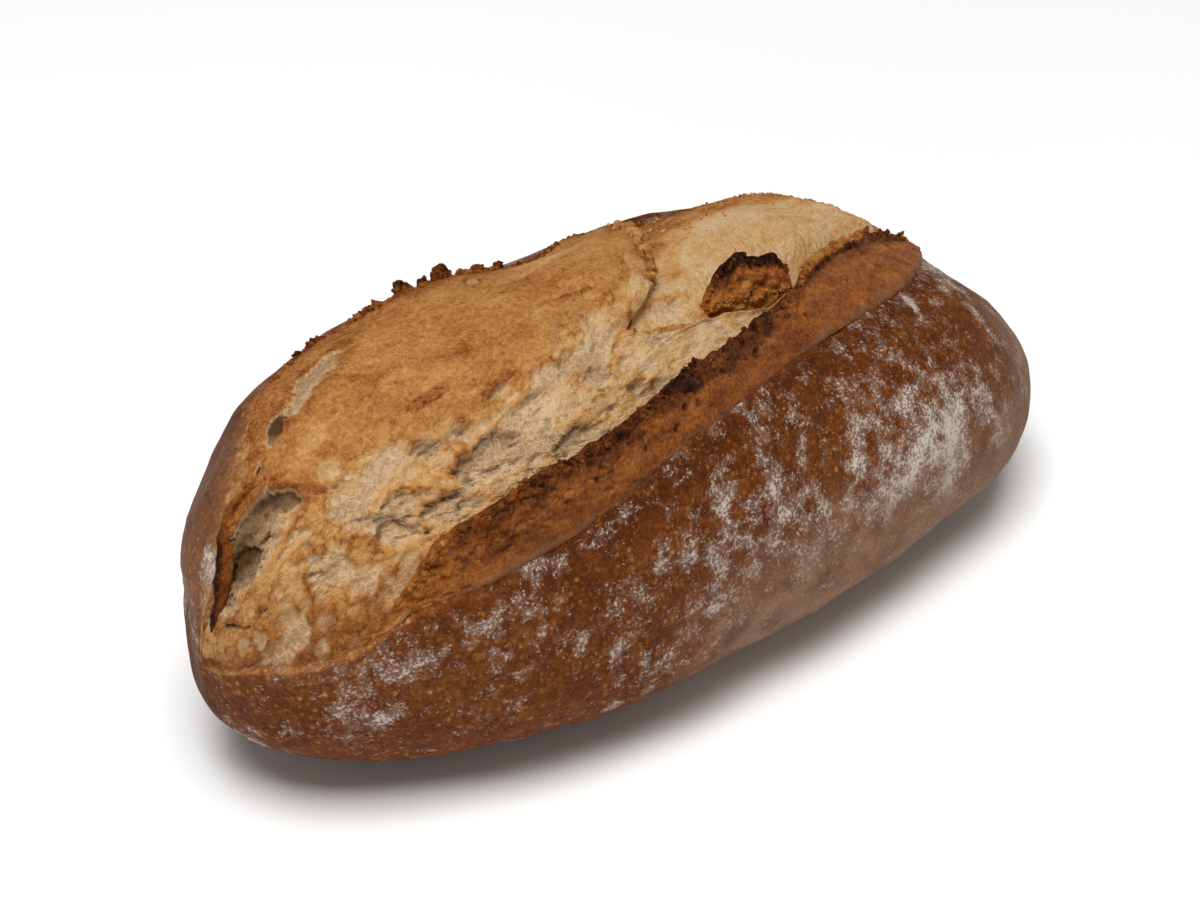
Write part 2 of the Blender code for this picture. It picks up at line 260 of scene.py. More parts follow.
def closed_skin(name, rings, marks, material):
    """One mesh from rings of points in mm, each joined to the next, with a fan to a middle
    point at both ends.  A leading axis holds several closed shells of one piece.  marks
    holds a number for each point under its name."""
    rings = rings.reshape(-1, *rings.shape[-3:])
    shells, count, rows = rings.shape[:3]
    ends = rings[:, [0, -1]].mean(2)
    points = np.concatenate([rings.reshape(-1, 3), ends.reshape(-1, 3)]) + MIDDLE
    number = np.arange(shells * count * rows).reshape(shells, count, rows)
    after = np.roll(number, -1, axis=2)
    walls = np.stack([number[:, :-1], number[:, 1:], after[:, 1:], after[:, :-1]], -1)
    walls = walls.reshape(-1, 4)
    pole = number.size + 2 * np.arange(shells)[:, None] + 0 * number[:, 0]
    first = np.stack([pole, number[:, 0], after[:, 0]], -1).reshape(-1, 3)
    last = np.stack([pole + 1, after[:, -1], number[:, -1]], -1).reshape(-1, 3)
    corners = [walls[:, [0, 1, 2]], walls[:, [0, 2, 3]], first, last]
    a, b, c = (points[np.concatenate(corners)[:, k]] for k in range(3))
    if np.einsum("ij,ij->", a, np.cross(b, c)) < 0:
        walls, first, last = walls[:, ::-1], first[:, ::-1], last[:, ::-1]
    loops = np.concatenate([walls.ravel(), first.ravel(), last.ravel()])
    sizes = np.concatenate([np.full(len(walls), 4), np.full(len(first) + len(last), 3)])
    mesh = bpy.data.meshes.new(name)
    mesh.vertices.add(len(points))
    mesh.vertices.foreach_set("co", (points * MM).astype(np.float32).ravel())
    mesh.loops.add(len(loops))
    mesh.loops.foreach_set("vertex_index", loops.astype(np.int32))
    mesh.polygons.add(len(sizes))
    mesh.polygons.foreach_set("loop_start", (np.cumsum(sizes) - sizes).astype(np.int32))
    mesh.polygons.foreach_set("loop_total", sizes.astype(np.int32))
    mesh.update(calc_edges=True)
    mesh.shade_smooth()
    for mark, value in marks.items():
        value = np.reshape(value, number.shape)
        whole = np.concatenate([value.ravel(), value[:, [0, -1]].mean(2).ravel()])
        layer = mesh.attributes.new(mark, "FLOAT", "POINT")
        layer.data.foreach_set("value", whole.astype(np.float32))
    mesh.materials.append(material)
    piece = bpy.data.objects.new(name, mesh)
    bpy.context.scene.collection.objects.link(piece)
    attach(piece, "root")
    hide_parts("loaf")
    return piece


def linear(colour):
    """An sRGB hex colour as linear red, green, blue and a full alpha."""
    share = np.array([int(colour[k:k + 2], 16) for k in (1, 3, 5)]) / 255
    low, high = share / 12.92, ((share + 0.055) / 1.055) ** 2.4
    return (*np.where(share <= 0.04045, low, high), 1.0)


def feed(tree, node, inputs):
    """Links each input of a node that is given a socket, and sets it to any other value."""
    for name, value in inputs.items():
        if isinstance(value, bpy.types.NodeSocket):
            tree.links.new(value, node.inputs[name])
        else:
            node.inputs[name].default_value = value


def add(tree, kind, inputs, stops=(), out=0, **settings):
    """Adds one node and gives its output out.  Its inputs are linked or set, stops are the
    (place, hex colour) pairs of a colour ramp, and settings are its properties."""
    node = tree.nodes.new("ShaderNode" + kind)
    for name, value in settings.items():
        setattr(node, name, value)
    feed(tree, node, inputs)
    for k, (place, colour) in enumerate(stops):
        stop = node.color_ramp.elements[k] if k < 2 else node.color_ramp.elements.new(place)
        stop.position, stop.color = place, linear(colour)
    return node.outputs[out]


def blank(name):
    """A new material, its node tree, its surface shader, and its object coordinates."""
    material = bpy.data.materials.new(name)
    material.use_nodes = True
    tree = material.node_tree
    return material, tree, tree.nodes["Principled BSDF"], add(tree, "TexCoord", {}, out="Object")


BLISTER_CELL = 2.4
CRUST_NOISE = (        # size, detail and roughness of its blotches, mottling and grain, and of
    (10.0, 3.0, 0.5), (3.5, 2.0, 0.6), (1.1, 4.0, 0.7), (5.5, 5.0, 0.7), (0.8, 3.0, 0.7),
)                      # the clusters and the grains of its flour


def baked_crust():
    """Baked wheat crust: matt brown, mottled in patches of 10, 3.5 and 1 mm, and closely set
    with slightly paler round blisters of 1 to 2 mm.  Dry flour clings to it in patches of
    fine grains over a thin film, caked in their middle, and dusts it low down as a grainy
    haze.  High on the left end the same haze is painted light, which lifts a side that the
    lamps leave in shade."""
    material, tree, skin, place = blank("baked_crust")
    flour, dark, gold, dust_and_painted_light = (add(tree, "Attribute", {}, attribute_name=name, out="Fac")
                               for name in ("flour", "dark", "gold", "dust_and_painted_light"))
    blotch, mottle, grain, cluster, dots = (
        add(tree, "TexNoise", {"Vector": place, "Scale": 1 / (size * MM), "Detail": detail,
                               "Roughness": rough}) for size, detail, rough in CRUST_NOISE)
    cell = add(tree, "TexVoronoi", {"Vector": place, "Scale": 1 / (BLISTER_CELL * MM)})
    blister = add(tree, "MapRange", {"Value": cell, "From Min": 0.42, "From Max": 0.15})
    own = add(tree, "SeparateColor", {0: cell.node.outputs["Color"]})
    raised = add(tree, "Math", {0: blister, 1: own}, operation="MULTIPLY")
    tone = add(tree, "Math", {0: raised, 1: 0.48, 2: -0.875}, operation="MULTIPLY_ADD")
    for part, weight in ((blotch, 0.40), (mottle, 0.75), (grain, 1.20), (dark, -0.20),
                         (gold, 0.4)):
        tone = add(tree, "Math", {0: part, 1: weight, 2: tone}, operation="MULTIPLY_ADD")
    colour = add(tree, "ValToRGB", {0: tone}, stops=(
        (0.0, "#46210a"), (0.25, "#5b2d0f"), (0.45, "#6e3b16"), (0.62, "#7f4c22"),
        (0.80, "#946032"), (1.0, "#b07f4b")))
    dots = add(tree, "Math", {0: dots, 1: 1.7, 2: -0.35}, operation="MULTIPLY_ADD")
    cover = add(tree, "Math", {0: cluster, 1: 2.2, 2: -1.1}, operation="MULTIPLY_ADD")
    cover = add(tree, "Math", {0: flour, 1: 0.56, 2: cover}, operation="MULTIPLY_ADD")
    cling = add(tree, "Math", {0: cover, 1: 0.52, 2: dots}, operation="MULTIPLY_ADD")
    floury = add(tree, "MapRange", {"Value": cling, "From Min": 0.78, "From Max": 0.92})
    film = add(tree, "MapRange", {"Value": cover, "From Min": 0.25, "From Max": 0.8,
                                  "To Max": 0.72})
    caked = add(tree, "MapRange", {"Value": cover, "From Min": 0.30, "From Max": 0.9})
    grains = add(tree, "Mix", {0: caked, 6: linear("#ad9b8c"), 7: linear("#c9bbac")},
                 data_type="RGBA", out=2)
    # the haze is real flour dust low on the loaf, and painted light high on the left end
    haze = add(tree, "Math", {0: dust_and_painted_light, 1: blotch}, operation="MULTIPLY")
    grainy = add(tree, "Math", {0: dots, 1: 1.3, 2: 0.35}, operation="MULTIPLY_ADD")
    haze = add(tree, "Math", {0: haze, 1: grainy}, operation="MULTIPLY")
    for share, over in ((film, linear("#9b857a")), (floury, grains), (haze, linear("#9e8069"))):
        colour = add(tree, "Mix", {0: share, 6: colour, 7: over}, data_type="RGBA", out=2)
    relief = {}
    for height, depth, strength in ((raised, 0.4, 0.8), (floury, 0.3, 0.5), (grain, 0.4, 0.7)):
        relief = {"Normal": add(tree, "Bump", {"Height": height, "Distance": depth * MM,
                                               "Strength": strength, **relief})}
    rough = add(tree, "MapRange", {"Value": floury, "To Min": 0.60, "To Max": 0.95})
    feed(tree, skin, {"Base Color": colour, "Roughness": rough, "Specular IOR Level": 0.06,
                      **relief})
    return material


# The rows run round the loaf, close together on its sides.  Height is the shared relief with
# hills of 24 and 7 mm and a crease at the ear's foot, less the bed under the split.
SOLE = (-52, 232)                  # angles where the near and the far side meet the foot
ROW_COUNTS = (8, 126, 14, 60, 8)   # rows on the foot, near side, bed, far side and foot
station = even_stations(-89.9, 89.9, CRUST_RINGS)
foot, lip = through(EAR_FOOT, station), through(FAR_EDGE, station)
stops = [stop + 0 * station for stop in (-90, SOLE[0], foot, lip, SOLE[1], 270)]
angle = np.concatenate([low + (high - low) * np.linspace(0, 1, count, endpoint=False)
                        for low, high, count in zip(stops, stops[1:], ROW_COUNTS)], axis=1)
point = smooth_loaf(station, angle)
x, z = point[..., 0], point[..., 2]
split = soft_step((SPLIT_END - station) / SPLIT_FADE) * soft_step((station + 88) / 8)
in_bed = soft_step((angle - foot) / 1.5) * soft_step((lip - angle) / 1.5) * split
uneven = clouds(point, 24.0, 3) * 0.8 + clouds(point, 7.0, 4, 2) * 0.3
uneven *= soft_step(z / FOOT_FADE) * soft_step((90 - np.abs(station)) / 6)
crease = 0.5 * split * hump(angle - foot, 2.5) * soft_step((station + 48) / 10)
height = body_relief(station, angle, point) + uneven - crease
height -= in_bed * np.minimum(BED_DEPTH, room_inside(station))
left_lip = hump(foot - angle - 0.9, 0.6) * soft_step((-46 - station) / 8)
rings = on_loaf(station, angle, height + 0.45 * left_lip)
rings[..., 2] = np.where(z <= 0, 0, np.maximum(rings[..., 2], 0))
flour = sum(strength * hump(x - px, rx) * hump(z - pz, rz)
            for px, pz, rx, rz, strength in FLOUR_PATCHES)
blotches = clouds(point, 17.0, 9, 3)
near = angle < 90
under_ear = hump(foot - angle - 3, 3.5) * soft_step((station + 40) / 20) * split
flour = np.where(near, flour + 0.16 + 0.22 * blotches + 0.2 * under_ear, 0.35 + 0.5 * blotches)
flour -= 0.5 * soft_step((-70 - x) / 25) * soft_step((z - 58) / 15)
dark = 0.9 * under_ear + 0.15 * soft_step((x - 60) / 60) + 0.25 * clouds(point, 30.0, 12)
dark += 0.3 * soft_step((-100 - x) / 25) * soft_step((50 - z) / 25)
gold = 0.6 * hump(foot - angle, 1.2) + 0.3 * hump(foot - angle, 7.0)
gold *= near * soft_step((-42 - station) / 8)
gold += 1.4 * hump(angle - lip, 9.0) * soft_step((-40 - station) / 10)
gold += 0.35 * soft_step((-70 - station) / 12) * soft_step((z - 30) / 20)
dust_and_painted_light = 0.95 * soft_step((62 - z) / 30) * soft_step((x + 45) / 45)
dust_and_painted_light += 0.40 * soft_step((x - 104) / 14) * soft_step((z - 30) / 20)
# painted light: the upper part of the left end is lightened with the haze, standing in for light
# the lamps do not give that side
dust_and_painted_light += 0.32 * soft_step((-104 - x) / 20) * soft_step((z - 46) / 14)
closed_skin("crust", rings, {"flour": flour, "dark": dark, "gold": gold, "dust_and_painted_light": dust_and_painted_light},
            baked_crust())

# ------------------------------------------------------------------------------- crumb
# The crumb is the loaf's soft inside, risen through the split and toasted where it stood
# out.  It broke in two pillows: the left one ends in a torn edge that lies over the right
# one.  Near the ear the crust tore away and left open bubbles and a few deep holes.
VALLEY_DEPTH = 2.4
VALLEY_WIDTH = 0.10
CROWN = 1.8
UNDER_ROWS = 10
CRUMB_ROOT = 4.0           # how much deeper than the crust's bed a pillow reaches
CRUMB_EDGE = ((-90, 5), (-74, 10.5), (-60, 12.5), (-50, 19.5), (-44, 27), (-38, 38),
              (-28, 43), (-17, 48), (-6, 54), (5, 59), (16, 65), (25, 74), (34, 79.5), (42, 82),
              (50, 84), (57, 86), (66, 90), (90, 90))
STEP_LINE = ((-0.2, 50), (0.0, 50), (0.05, 34), (0.10, 20), (0.14, 6), (0.22, -6),
             (0.29, -13), (0.32, -2), (0.35, 9), (0.45, 16), (0.55, 22), (0.8, 30), (1.1, 34))
TOAST_LINE = ((-90, 0.9), (-66, 0.85), (-58, 0.62), (-50, 0.50), (-43, 0.46), (-34, 0.31),
              (-26, 0.37), (-15, 0.44), (-5, 0.42), (5, 0.4), (20, 0.5), (90, 0.5))
TORN_HOLES = (     # station, share, half length, half width, turn, depth, raggedness, painted shade
    # the large hole by the ear, and the smaller ones near it
    (-30.6, 0.167, 9.6, 5.6, 3, 3.8, 0.24, 0.47), (-37.2, 0.101, 2.7, 2.1, -19, 2.2, 0.25, 0.48),
    (-38.1, 0.062, 6.1, 4.2, -5, 1.8, 0.25, 0.42), (-43.9, 0.13, 6.3, 5.6, 32, 1.6, 0.25, 0.44),
    (-37, 0.308, 4.1, 2.9, -14, 2, 0.25, 0.5), (-25.2, 0.404, 4.5, 2.3, 18, 1.7, 0.25, 0.5),
    (-32.3, 0.32, 2.7, 1.8, -17, 1.4, 0.25, 0.5), (-22, 0.31, 3.7, 1.9, -4, 1.4, 0.25, 0.5),
    (-19.6, 0.052, 7.8, 3.7, 7, 2.2, 0.25, 0.4), (-24.5, 0, 2.3, 1.4, 7, 1.4, 0.2, 0.5),
    (-13.2, 0.277, 2.5, 1.9, -42, 0.9, 0.15, 0.5), (-16.3, 0.362, 2.2, 1.9, -29, 0.8, 0.15, 0.5),
    (-13.4, 0.228, 5.2, 4, -19, 1.6, 0.25, 0.5), (-13.4, 0.173, 1.7, 1.3, -32, 2, 0.15, 0.5),
    (-8.6, 0.067, 4.5, 3.1, -38, 1.8, 0.25, 0.42), (-46.1, 0.115, 8.6, 3.6, -39, 1.5, 0.25, 0.44),
    (-58, 0.227, 2.4, 2, -32, 1.2, 0.3, 0.38), (-58.1, 0.109, 1.8, 2.9, 33, 1.2, 0.3, 0.38),
    (-60.3, -0.232, 1.7, 2.4, 42, 1.4, 0.3, 0.4), (-70.5, -0.079, 1.1, 1.8, 5, 1.2, 0.3, 0.4),
    (-68.4, 0.232, 1, 1, 27, 2, 0.1, 0.7), (-52.7, -0.101, 0.9, 0.8, -43, 1.5, 0.1, 0.5),
    (-50.9, 0.425, 1.9, 1.1, -14, 1.6, 0.2, 0.5), (-75.5, 0.336, 2.1, 1, -42, 2, 0.2, 0.85),
    # the pit in the hook, with its deeper places
    (-66, 0.669, 11.5, 7.1, 41, 3, 0.18, 0.68), (-60.6, 0.695, 6.3, 4.3, -31, 2, 0.2, 0.72),
    (-69.8, 0.603, 3.8, 5.9, 2, 2.2, 0.2, 0.8), (-74.6, 0.542, 1.5, 3.1, 31, 2, 0.2, 0.6),
    (-64, 0.59, 1.6, 1.6, 0, 2, 0.1, 0.85),
    # the trough along the far lip, with the gaps at its end, dark with painted shade
    (-42.6, 0.9, 14.5, 4.4, 33, 1.3, 0.24, 0.53), (-38.9, 0.925, 1.7, 1.6, 0, 1.2, 0.12, 0.95),
    (-52.9, 0.92, 2, 5.2, -42, 1.6, 0.3, 0.84),
    # the hollow beside the step
    (1.6, 0.262, 10, 3.6, -12, 1.5, 0.22, 0.42), (-58.4, 0.945, 2, 1.3, 40, 1.4, 0.3, 0.9),
    (-14.3, 1.065, 2.1, 4, -24, 1.2, 0.2, 0.5),
)
FOLDS = (          # thin toasted folds: station, share, half length, half width, turn, height
    (0.9, 0.19, 12, 0.9, -19, 1.1), (-4.9, 0.3, 5, 0.8, 60, 0.7), (-56.2, 0.65, 10.5, 0.9, -40, 1),
    (-33.4, 0.5, 7.5, 0.9, 8, 0.8), (-8, 0.56, 9, 0.8, -14, 0.5), (-7.2, 0.075, 4.2, 0.8, 8, 1.3),
)
BUBBLES = ((6.4, 0.42, 0.9), (3.8, 0.50, 0.6), (2.2, 0.60, 0.35))   # cell, share open, depth
SHUT_BUBBLES = 0.10          # depth left of a bubble where the toasted skin still covers it
LIP = 0.6                    # how far a torn skin hangs over the hole below it
PLATEAU_TOAST, PALE_TOAST = 0.66, 0.37
STREAKS = (        # browner places, and paler ones where how much is below 0: station, share,
                   # half length, half width, turn, how much
    (-33.6, 0.515, 8, 1.6, 8, 0.22), (-26, 0.66, 12, 3, -12, 0.08), (-38, 0.72, 9, 3, -12, 0.08),
    (-12, 0.84, 14, 3.5, -8, 0.08), (-5, 0.62, 12, 2.5, -10, 0.08), (19.5, 0.06, 9, 5, 0, 0.3),
    (8, 0.14, 7, 3, -15, 0.28), (-47, 0.04, 9, 3, 20, 0.14), (-6.6, 0.045, 4.4, 3, 20, 0.32),
    (-3, 0.78, 16, 8, 0, -0.16), (13, 0.2, 9, 4, -10, 0.12), (-62, 0.42, 9, 8, 0, 0.05),
)


def bubbles(point, size, seed, active):
    """Bubbles broken open: one at most in each cell of that size, in an active share of the
    cells.  Gives how deep a point lies in one, from 0 at its crisp upper edge to 1, its floor
    sloping up to the lower edge, and how near it lies to a rim, more so to an upper one."""
    at = point / size
    low = np.floor(at).astype(np.int64)
    deep, rim = 0 * at[..., 0], 0 * at[..., 0]
    for offset in np.ndindex(*(3,) * at.shape[-1]):
        cell = low + offset - 1
        centre = cell + 0.15 + 0.7 * np.stack([scatter(cell, seed + k)
                                               for k in range(at.shape[-1])], -1)
        radius = np.where(scatter(cell, seed + 8) < active,
                          0.20 + 0.34 * scatter(cell, seed + 7), 0.001)
        away = np.linalg.norm(at - centre, axis=-1) / radius
        upper = soft_step(0.6 + 0.7 * (at - centre)[..., 1] / radius)
        deep = np.maximum(deep, np.sqrt(np.clip(1 - away ** 4, 0, 1)) * upper)
        rim = np.maximum(rim, hump(away - 1.12, 0.18) * (0.3 + 0.7 * upper))
    return deep, rim * (1 - deep)


def split_width(station):
    """Distance across the split on the smooth loaf at each station."""
    crest, lip = through(EAR_CREST, station), through(FAR_LIP, station)
    angles = crest[..., None] + (lip - crest)[..., None] * np.linspace(0, 1, 13)
    line = smooth_loaf(station[..., None] + 0 * angles, angles)
    return np.linalg.norm(np.diff(line, axis=-2), axis=-1).sum(-1)


def from_oval(x, wide, station, share, half_length, half_width, turn):
    """Distance along and across from a place in the split, as shares of an oval's half
    length and half width."""
    ahead = x - x_at(station)
    aside = wide - share * split_width(np.array([float(station)]))[0]
    cosine, sine = np.cos(np.radians(turn)), np.sin(np.radians(turn))
    return ((ahead * cosine + aside * sine) / half_length,
            (aside * cosine - ahead * sine) / half_width)


def crumb_surface(station, share, openness, fibrous):
    """Height, lean and marks of the crumb.

    Height is a long pillow with a valley at each side, soft hills of 26 and 11 mm, torn
    roughness of 3 and 1.3 mm, ragged hollows below the toast line where the crust tore
    away, round bubbles of three sizes broken open there, the torn holes, each with a web of
    thin walls on its floor, and the thin folds.  Lean is how far the upper rim of a hole
    hangs over it.  Toast runs from 0, pale crumb, to 1, burnt: more on rims, folds and the
    outer and far edges, less in hollows and beside the ear, with the streaks added.  Pit is
    how deep a point lies, weighted by a torn hole's painted shade, which darkens its floor brown.
    """
    crest, lip = through(EAR_CREST, station), through(FAR_LIP, station)
    angle = crest + share * (lip - crest)
    point = smooth_loaf(station, angle)
    x, wide = point[..., 0], share * split_width(station)
    flat = spots(walk(station), wide)
    inside = np.clip(share, 0, 1)
    valley = np.exp(-inside / VALLEY_WIDTH) * (1 - 0.85 * soft_step((-38 - station) / 14))
    height = CROWN * np.sin(np.pi * inside) - VALLEY_DEPTH * valley
    height *= soft_step((SPLIT_END - station) / SPLIT_FADE)
    height += body_relief(station, angle, point)

    drift = spots(clouds(flat, 6.0, 21, 2), clouds(flat, 6.0, 22, 2)) * 1.4
    frayed = spots(clouds(flat, 2.0, 23, 2), clouds(flat, 2.0, 24, 2)) * 0.35
    warped = flat + drift
    hills = clouds(point, 26.0, 31) * 0.9 + clouds(point, 11.0, 32) * 0.5
    torn = clouds(warped * (0.8, 1.0), 3.0, 33, 3)
    fine = clouds(flat * (0.75, 1.0), 1.3, 35, 2)
    fibres = fibrous * clouds(warped * (1.0, 0.12), 1.0, 37, 2)

    line = through(TOAST_LINE, station) + 0.055 * clouds(flat, 7.0, 41, 4)
    pale = soft_step((line - share) / (0.04 + 0.30 * fibrous) + 0.5)
    spread = soft_step((line + 0.12 - share) / 0.18)
    patch = clouds(flat * (0.8, 1.15), 8.0, 51, 3) - 0.5 * (1 - spread)
    hollow = soft_step((patch - 0.12) / 0.35) * openness
    fringe = hump(patch - 0.04, 0.12) * openness * spread
    broken = openness * (SHUT_BUBBLES + (1 - SHUT_BUBBLES) * spread)
    deep, rims = 0 * height, 0 * height
    for k, (size, active, depth) in enumerate(BUBBLES):
        seed = 61 + 10 * k
        dome, edge = bubbles((flat + 0.25 * drift + frayed) * (0.85, 1.0), size, seed, active)
        height -= depth * dome * broken
        deep = np.maximum(deep, dome * min(1, depth))
        rims = np.maximum(rims, edge)
    height += hills + 0.09 * torn + 0.24 * fine + 0.10 * fibres
    height -= 0.55 * hollow - 0.1 * fringe
    height -= 0.8 * pale * openness * soft_step((share + 0.02) / 0.08)

    pit, rim, lean, opened, streaks, folds = (0 * height for _ in range(6))
    scallops = bubbles(flat + frayed, 4.4, 91, 0.9)[0]
    rugged = clouds(flat, 3.2, 71, 4)
    web = np.abs(clouds(warped * (1.0, 0.6), 2.4, 81, 3))
    for *oval, depth, ragged, painted_shade in TORN_HOLES:
        ahead, aside = from_oval(x, wide, *oval)
        half_width = oval[3]
        away = np.hypot(ahead, aside) + ragged * rugged * min(1, 3.5 / half_width + 0.25)
        away -= 1.2 / half_width * np.maximum(scallops - 0.4, 0)
        upper = soft_step(0.6 + aside * 0.9)
        slope = 0.8 + min(2.2, half_width) * (1 - upper)
        sunk = soft_step((1.0 - away) * half_width / slope)
        height -= depth * sunk * (0.50 + 0.35 * upper)
        # painted shade: a hole's floor is darkened the deeper it lies, more so under its upper rim
        pit = np.maximum(pit, sunk * painted_shade * (0.78 + 0.3 * upper))
        opened = np.maximum(opened, sunk)
        edge = hump((away - 1.05) * half_width, 1.1)
        rim = np.maximum(rim, edge * (0.3 + 0.7 * upper))
        lean = np.maximum(lean, edge * upper * min(1, depth / 3.0))
    height += opened * (0.35 * hump(web, 0.10) - 0.35 * deep)
    for *oval, tall in FOLDS:
        fold = soft_step(1.3 - np.hypot(*from_oval(x, wide, *oval)) - 0.3 * rugged)
        height, folds = height + tall * fold, np.maximum(folds, fold)
    for *oval, much in STREAKS:
        away = np.hypot(*from_oval(x, wide, *oval))
        streaks += much * soft_step(1.25 - away - 0.35 * rugged)

    left, torn_open = soft_step((-44 - station) / 14), spread * openness
    toast = PLATEAU_TOAST + (PALE_TOAST + 0.17 * left - PLATEAU_TOAST) * pale
    toast += 0.05 * clouds(flat * (0.6, 1), 9.0, 91, 2) - 0.05 * spread * (1 - pale)
    toast += 0.03 * torn + 0.04 * fine + 0.04 * fibres - 0.05 * fibrous
    beside_ear = soft_step((0.34 - share) / 0.2) * soft_step((station + 34) / 8)
    toast -= 0.10 * beside_ear * soft_step((12 - station) / 10)
    toast += 0.15 * torn_open * clouds(flat, 7.0, 93, 3)
    toast += (0.16 * rims - 0.14 * deep) * (1 - opened) * torn_open
    toast += 0.12 * fringe - 0.10 * hollow - 0.12 * opened
    toast += 0.22 * rim * (1 - opened) + 0.32 * folds + streaks
    toast += 0.14 * soft_step((-60 - station) / 14) * soft_step((0.30 - share) / 0.2)
    outer_edge = soft_step((0.05 - share) / 0.10) * soft_step((-38 - station) / 8)
    toast += 0.28 * outer_edge * (1 + 0.5 * clouds(flat, 2.4, 95, 3))
    far_edge = soft_step((angle - through(FAR_EDGE, station) + 14) / 14)
    toast += 0.18 * far_edge * soft_step((0 - station) / 12)
    toast = np.minimum(toast, 0.80 + 0.08 * torn)
    pit = np.maximum(pit, 0.42 * spread * np.maximum(hollow, deep * openness))
    return {"angle": angle, "height": height, "lean": -LIP * lean, "toast": toast, "pit": pit}


CRUMB_NOISE = ((1.1, 5.0, 0.8, 0.16), (6.0, 4.0, 0.6, 0.05))   # size, detail, roughness, weight
WALL_CELLS = (2.4, 1.2)
WALL_BEND = (2.0, 1.6)     # size and reach of the noise that bends the thin walls


def torn_crumb():
    """Torn bread crumb: soft, matt, light passing a little way into it.  Cream to golden to
    dark brown as it toasted, in flecks of 1 mm and clouds of 6 mm.  Where a hole is open it
    is greyer, a web of thin pale walls round darker cells, and painted shade makes it dark
    brown in the depths."""
    material, tree, skin, place = blank("torn_crumb")
    toast, pit = (add(tree, "Attribute", {}, attribute_name=name, out="Fac")
                  for name in ("toast", "pit"))
    shaken = add(tree, "TexNoise", {"Vector": place, "Scale": 1 / (WALL_BEND[0] * MM),
                                    "Detail": 2.0}, out="Color")
    bent = add(tree, "VectorMath", {0: shaken, 1: (WALL_BEND[1] * MM,) * 3, 2: place},
               operation="MULTIPLY_ADD")
    walls = 0.0
    for size in WALL_CELLS:
        edge = add(tree, "TexVoronoi", {"Vector": bent, "Scale": 1 / (size * MM)},
                   feature="DISTANCE_TO_EDGE")
        wall = add(tree, "MapRange", {"Value": edge, "From Max": 0.16, "To Min": 0.5,
                                      "To Max": 0.0})
        walls = add(tree, "Math", {0: wall, 1: walls}, operation="ADD")
    amount = add(tree, "Math", {0: walls, 1: -0.07, 2: toast}, operation="MULTIPLY_ADD")
    flecks = []
    for size, detail, rough, weight in CRUMB_NOISE:
        noise = add(tree, "TexNoise", {"Vector": place, "Scale": 1 / (size * MM),
                                       "Detail": detail, "Roughness": rough})
        fleck = add(tree, "MapRange", {"Value": noise, "From Min": 0.3, "From Max": 0.7,
                                       "To Min": -weight, "To Max": weight}, clamp=False)
        amount = add(tree, "Math", {0: amount, 1: fleck}, operation="ADD")
        flecks.append((noise, fleck))
    colour = add(tree, "ValToRGB", {0: amount}, stops=(
        (0.0, "#d6b994"), (0.20, "#d4b287"), (0.36, "#cea571"), (0.50, "#c59257"),
        (0.62, "#b67d45"), (0.76, "#9a5d2a"), (0.90, "#673313"), (1.0, "#2a1208")))
    # painted shade: the deepest hole floors are darkened towards dark brown, as if shade fell in
    # them
    painted_depth_shade = add(tree, "MapRange", {"Value": pit, "From Min": 0.42, "From Max": 0.85})
    frayed = add(tree, "Math", {0: flecks[0][1], 1: 0.8, 2: pit}, operation="MULTIPLY_ADD")
    opened = add(tree, "MapRange", {"Value": frayed, "From Min": 0.10, "From Max": 0.46,
                                    "To Max": 0.92})
    bottom = linear("#b28a62")
    for share, over in ((walls, linear("#dec29c")), (painted_depth_shade, linear("#432811"))):
        bottom = add(tree, "Mix", {0: share, 6: bottom, 7: over}, data_type="RGBA", out=2)
    colour = add(tree, "Mix", {0: opened, 6: colour, 7: bottom}, data_type="RGBA", out=2)
    relief = {}
    for height, depth, strength in ((walls, 0.4, 0.7), (flecks[0][0], 0.6, 0.8)):
        relief = {"Normal": add(tree, "Bump", {"Height": height, "Distance": depth * MM,
                                               "Strength": strength, **relief})}
    feed(tree, skin, {"Base Color": colour, "Roughness": 0.85, "Specular IOR Level": 0.12,
                      "Subsurface Weight": 0.15, "Subsurface Radius": (1.0, 0.55, 0.28),
                      "Subsurface Scale": 0.8 * MM, **relief})
    return material


def crumb_rows(outer_count, main_count, beyond_count):
    """Where a crumb piece's rows lie.  Three numbers for each row: how far out it is between
    the ear's crest and the crust's edge, its share of the way from crest to far lip, and how
    far beyond the lip it is towards the far edge."""
    outer = np.linspace(1, 0, outer_count, endpoint=False)
    main = np.linspace(0, 1, main_count, endpoint=False)
    beyond = np.linspace(0, 1, beyond_count)
    none = (0 * outer, 0 * main, 0 * beyond)
    return (np.concatenate([outer, none[1], none[2]]),
            np.concatenate([none[0], main, 1 + none[2]]),
            np.concatenate([none[0], none[1], beyond]))


def placed_share(station, rows):
    """The share of each row between crest and far lip, wherever those lie at each station:
    below 0 out to the crust's edge, and beyond 1 out to the far edge."""
    crest, lip = through(EAR_CREST, station), through(FAR_LIP, station)
    low = (through(CRUMB_EDGE, station) - crest) / (lip - crest)
    high = (through(FAR_EDGE, station) + 1.5 - crest) / (lip - crest)
    outer, main, beyond = rows
    return main * (1 - beyond) + low * outer + high * beyond


def crumb_skin(name, station, share, height_change, browned, openness, fibrous):
    """A crumb piece: its torn surface on top, closed underneath along a smooth bed."""
    face = crumb_surface(station, share, openness, fibrous)
    top = on_loaf(station, face["angle"], face["height"] + height_change, face["lean"])
    under = np.linspace(1, 0, UNDER_ROWS + 2)[1:-1]
    first, last = face["angle"][:, :1], face["angle"][:, -1:]
    angle = first + (last - first) * under
    at = station[:, :1] + (station[:, -1:] - station[:, :1]) * under
    bed = on_loaf(at, angle, -np.minimum(BED_DEPTH + CRUMB_ROOT, room_inside(at)))
    rings = np.concatenate([top, bed], axis=1)
    marks = {"toast": np.concatenate([face["toast"] + browned, 0 * angle], axis=1),
             "pit": np.concatenate([face["pit"] + 0 * browned, 0 * angle], axis=1)}
    closed_skin(name, rings, marks, crumb)
    return top


